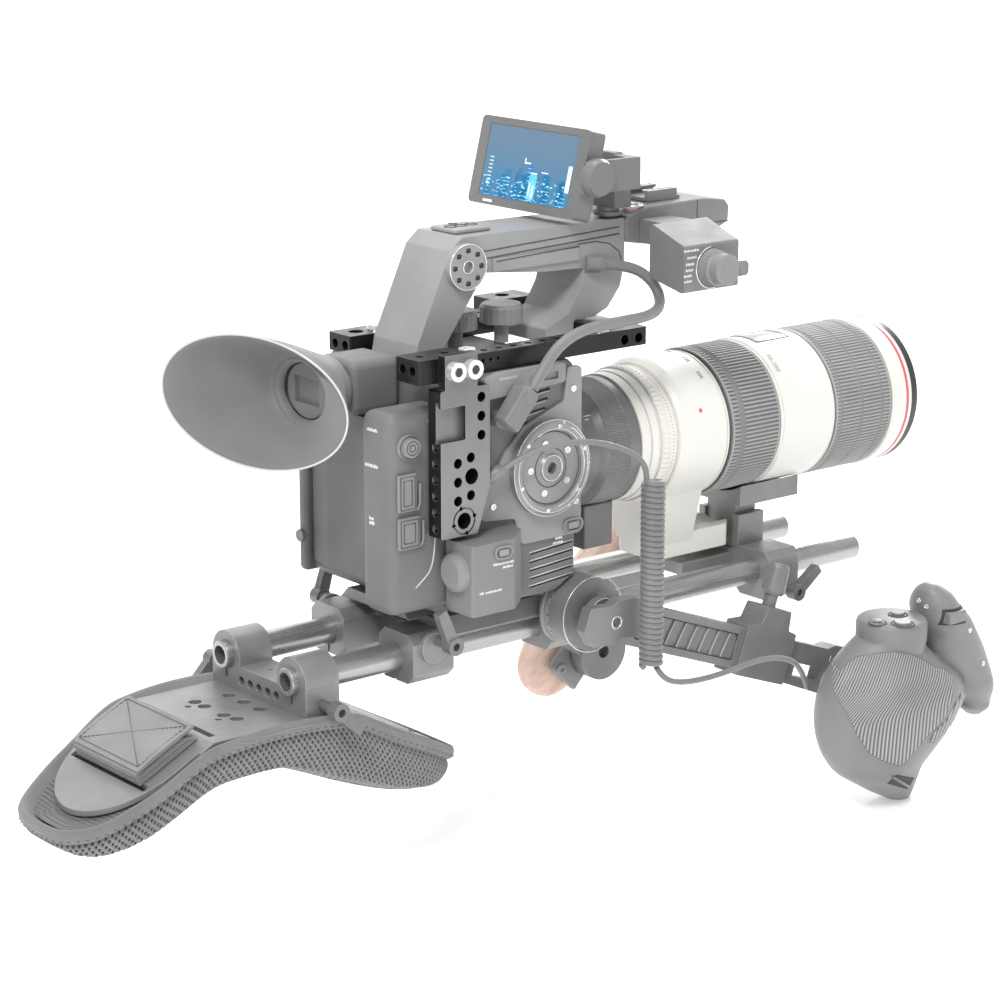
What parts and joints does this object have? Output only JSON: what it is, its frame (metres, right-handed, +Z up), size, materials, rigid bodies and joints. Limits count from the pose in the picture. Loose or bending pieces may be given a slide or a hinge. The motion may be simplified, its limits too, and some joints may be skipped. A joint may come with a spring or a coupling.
{
  "type": "cinema camera rig",
  "caption": "Shoulder-mounted video camera with white telephoto zoom, support rods, shoulder pad, top handle with monitor, side grips and curly cord.",
  "frame": {"origin": "mouth of the 3/8 inch tripod socket under the bridge plate, between the rods", "axes": "+X forward along the rods and the lens, +Z up, -Y the operator's right"},
  "size_m": [0.585, 0.2446, 0.3925],
  "materials": {
    "anodised_black": "black anodised, fine bead blast",
    "plate_black": "deep black anodised, machined edges",
    "rod_steel": "polished along the rod",
    "lever_black": "satin powder coat",
    "body_plastic": "fine moulded texture",
    "panel_plastic": "soft satin",
    "battery_plastic": "fine moulded texture",
    "fitting_plastic": "moulded",
    "mount_metal": "satin",
    "steel": "machined",
    "lens_white": "fine hammered lacquer",
    "adapter_black": "satin with ribbed band",
    "ribbed_rubber": "moulded ribs",
    "glass": "coated",
    "red_line": "gloss",
    "filter_black": "semi-matt",
    "handle_plastic": "soft satin",
    "module_plastic": "soft satin",
    "knob_plastic": "ribbed",
    "button_red": "tinted",
    "lcd_plastic": "soft satin",
    "screen": "lit display",
    "eyecup_rubber": "soft matt",
    "arm_black": "black anodised",
    "grip_plastic": "soft touch with fine ridges",
    "wood": "open grain, oiled",
    "pad_foam": "ribbed fabric over foam, bound edge",
    "strap_web": "ribbed webbing, box stitched",
    "cord_black": "satin"
  },
  "bodies": {
    "rig": {"rods": "rod_steel", "baseplate": "anodised_black", "quick_plate": "anodised_black", "base_rosettes": "mount_metal", "camera_body": "body_plastic", "battery": "battery_plastic", "side_panel": "panel_plastic", "grip_mount": "mount_metal", "steel_screws": "steel", "audio_inputs": "module_plastic", "side_fittings": "fitting_plastic", "mount_adapter": "adapter_black", "lens_barrel": "lens_white", "tripod_collar": "lens_white", "lens_glass": "glass", "red_ring": "red_line", "filter_ring": "filter_black", "top_plate": "plate_black", "side_plate": "plate_black", "handle_frame": "handle_plastic", "handle_module": "module_plastic", "handle_cable": "cord_black", "upper_lead": "cord_black", "lower_lead": "cord_black", "curly_coil": "cord_black", "cable_plugs": "cord_black"},
    "shoulder_mount": {"shoulder_clamp": "anodised_black", "shoulder_plate": "anodised_black", "shoulder_pad": "pad_foam", "pad_strap": "strap_web"},
    "shoulder_lever_right": {"lever_shoulder_right": "lever_black"},
    "shoulder_lever_left": {"lever_shoulder_left": "lever_black"},
    "base_lever_right": {"lever_base_right": "lever_black"},
    "base_lever_left": {"lever_base_left": "lever_black"},
    "support_base": {"lens_support": "anodised_black"},
    "support_lever": {"lever_support": "lever_black"},
    "support_cradle": {"lens_cradle": "anodised_black"},
    "zoom": {"zoom_ring": "ribbed_rubber"},
    "focus": {"focus_ring": "ribbed_rubber"},
    "monitor_bracket": {"lcd_bracket": "lcd_plastic"},
    "monitor": {"lcd_panel": "lcd_plastic", "lcd_screen": "screen"},
    "viewfinder": {"evf_tube": "body_plastic", "eyecup": "eyecup_rubber"},
    "near_arm": {"extension_arm": "arm_black"},
    "near_slider": {"arm_slider": "arm_black"},
    "rosette_knob": {"wing_knob": "knob_plastic"},
    "slider_knob": {"lock_knob": "knob_plastic"},
    "grip": {"hand_grip": "grip_plastic"},
    "dial": {"grip_dial": "knob_plastic"},
    "trigger_button": {"grip_button": "button_red"},
    "zoom_rocker": {"grip_rocker": "knob_plastic"},
    "far_arm": {"left_arm": "arm_black"},
    "wood_grip": {"left_grip_frame": "anodised_black", "left_grip_wood": "wood"},
    "record": {"record_button": "button_red"},
    "release_slide": {"release_switch": "knob_plastic"},
    "input_slide": {"input_switch": "knob_plastic"},
    "handle_knob_rear": {"rear_handle_knob": "knob_plastic"},
    "handle_knob_front": {"front_handle_knob": "knob_plastic"}
  },
  "joints": [
    {"name": "shoulder_mount_slide", "type": "slide", "parent": "rig", "child": "shoulder_mount", "axis": [1, 0, 0], "range_m": [0, 0.02]},
    {"name": "shoulder_lever_right_turn", "type": "hinge", "parent": "shoulder_mount", "child": "shoulder_lever_right", "pos_m": [-0.1275, -0.052, 0.001], "axis": [0, 1, 0], "range_deg": [-45, 45]},
    {"name": "shoulder_lever_left_turn", "type": "hinge", "parent": "shoulder_mount", "child": "shoulder_lever_left", "pos_m": [-0.1275, 0.052, 0.001], "axis": [0, 1, 0], "range_deg": [-45, 45]},
    {"name": "base_lever_right_turn", "type": "hinge", "parent": "rig", "child": "base_lever_right", "pos_m": [-0.056, -0.056, 0.023], "axis": [0, 1, 0], "range_deg": [-45, 8]},
    {"name": "base_lever_left_turn", "type": "hinge", "parent": "rig", "child": "base_lever_left", "pos_m": [-0.056, 0.056, 0.023], "axis": [0, 1, 0], "range_deg": [-45, 45]},
    {"name": "lens_support_slide", "type": "slide", "parent": "rig", "child": "support_base", "axis": [1, 0, 0], "range_m": [0, 0.04]},
    {"name": "support_lever_turn", "type": "hinge", "parent": "support_base", "child": "support_lever", "pos_m": [0.205, -0.05, 0.002], "axis": [0, 1, 0], "range_deg": [-45, 45]},
    {"name": "lens_cradle_height", "type": "slide", "parent": "support_base", "child": "support_cradle", "axis": [0, 0, 1], "range_m": [-0.0065, 0]},
    {"name": "zoom_turn", "type": "hinge", "parent": "rig", "child": "zoom", "pos_m": [0.18, 0, 0.101], "axis": [1, 0, 0], "range_deg": [0, 70]},
    {"name": "focus_turn", "type": "hinge", "parent": "rig", "child": "focus", "pos_m": [0.266, 0, 0.101], "axis": [1, 0, 0], "continuous": true},
    {"name": "monitor_swivel", "type": "hinge", "parent": "rig", "child": "monitor_bracket", "pos_m": [0.0925, -0.011, 0.231], "axis": [0, 0, 1], "range_deg": [-60, 45]},
    {"name": "monitor_tilt", "type": "hinge", "parent": "monitor_bracket", "child": "monitor", "pos_m": [0.0633, 0.016, 0.2554], "axis": [0, 1, 0], "range_deg": [-60, 85]},
    {"name": "viewfinder_tilt", "type": "hinge", "parent": "rig", "child": "viewfinder", "pos_m": [-0.056, 0, 0.169], "axis": [0, 1, 0], "range_deg": [0, 40]},
    {"name": "near_arm_turn", "type": "hinge", "parent": "rig", "child": "near_arm", "pos_m": [0.036, -0.059, 0.024], "axis": [0, 1, 0], "range_deg": [-50, 40], "deforming": ["lower_lead"]},
    {"name": "slider_extend", "type": "slide", "parent": "near_arm", "child": "near_slider", "axis": [0.9379, 0, -0.3469], "range_m": [-0.0035, 0.03], "deforming": ["lower_lead"]},
    {"name": "rosette_knob_turn", "type": "hinge", "parent": "near_arm", "child": "rosette_knob", "pos_m": [0.036, -0.08, 0.024], "axis": [0, 1, 0], "continuous": true},
    {"name": "slider_knob_turn", "type": "hinge", "parent": "near_arm", "child": "slider_knob", "pos_m": [0.17115, -0.0655, 0.00599], "axis": [0.3469, 0, 0.9379], "continuous": true},
    {"name": "grip_turn", "type": "hinge", "parent": "near_slider", "child": "grip", "pos_m": [0.22827, -0.083, -0.04712], "axis": [0, 1, 0], "range_deg": [-45, 45], "deforming": ["lower_lead"]},
    {"name": "dial_turn", "type": "hinge", "parent": "grip", "child": "dial", "pos_m": [0.215, -0.128, -0.003], "axis": [0, 0, 1], "continuous": true},
    {"name": "trigger_press", "type": "slide", "parent": "grip", "child": "trigger_button", "axis": [0, 0, -1], "range_m": [0, 0.0015], "stiffness_N_per_m": 200, "springref_m": -0.001},
    {"name": "rocker_press", "type": "hinge", "parent": "grip", "child": "zoom_rocker", "pos_m": [0.255, -0.131, -0.004], "axis": [0, 0, 1], "range_deg": [-8, 8], "stiffness_Nm_per_rad": 0.1},
    {"name": "far_arm_turn", "type": "hinge", "parent": "rig", "child": "far_arm", "pos_m": [0.036, 0.057, 0.024], "axis": [0, 1, 0], "range_deg": [-50, 40]},
    {"name": "wood_grip_turn", "type": "hinge", "parent": "far_arm", "child": "wood_grip", "pos_m": [0.14838, 0.064, -0.04898], "axis": [0, 1, 0], "range_deg": [-60, 60]},
    {"name": "record_press", "type": "slide", "parent": "rig", "child": "record", "axis": [0, 0, -1], "range_m": [0, 0.0008], "stiffness_N_per_m": 200, "springref_m": -0.001},
    {"name": "release_press", "type": "slide", "parent": "rig", "child": "release_slide", "axis": [1, 0, 0], "range_m": [-0.0018, 0.0018], "stiffness_N_per_m": 50},
    {"name": "input_select", "type": "slide", "parent": "rig", "child": "input_slide", "axis": [1, 0, 0], "range_m": [-0.001, 0.001]},
    {"name": "rear_knob_turn", "type": "hinge", "parent": "rig", "child": "handle_knob_rear", "pos_m": [-0.006, 0, 0.181], "axis": [0, 0, 1], "continuous": true},
    {"name": "front_knob_turn", "type": "hinge", "parent": "rig", "child": "handle_knob_front", "pos_m": [0.026, 0, 0.181], "axis": [0, 0, 1], "continuous": true}
  ]
}
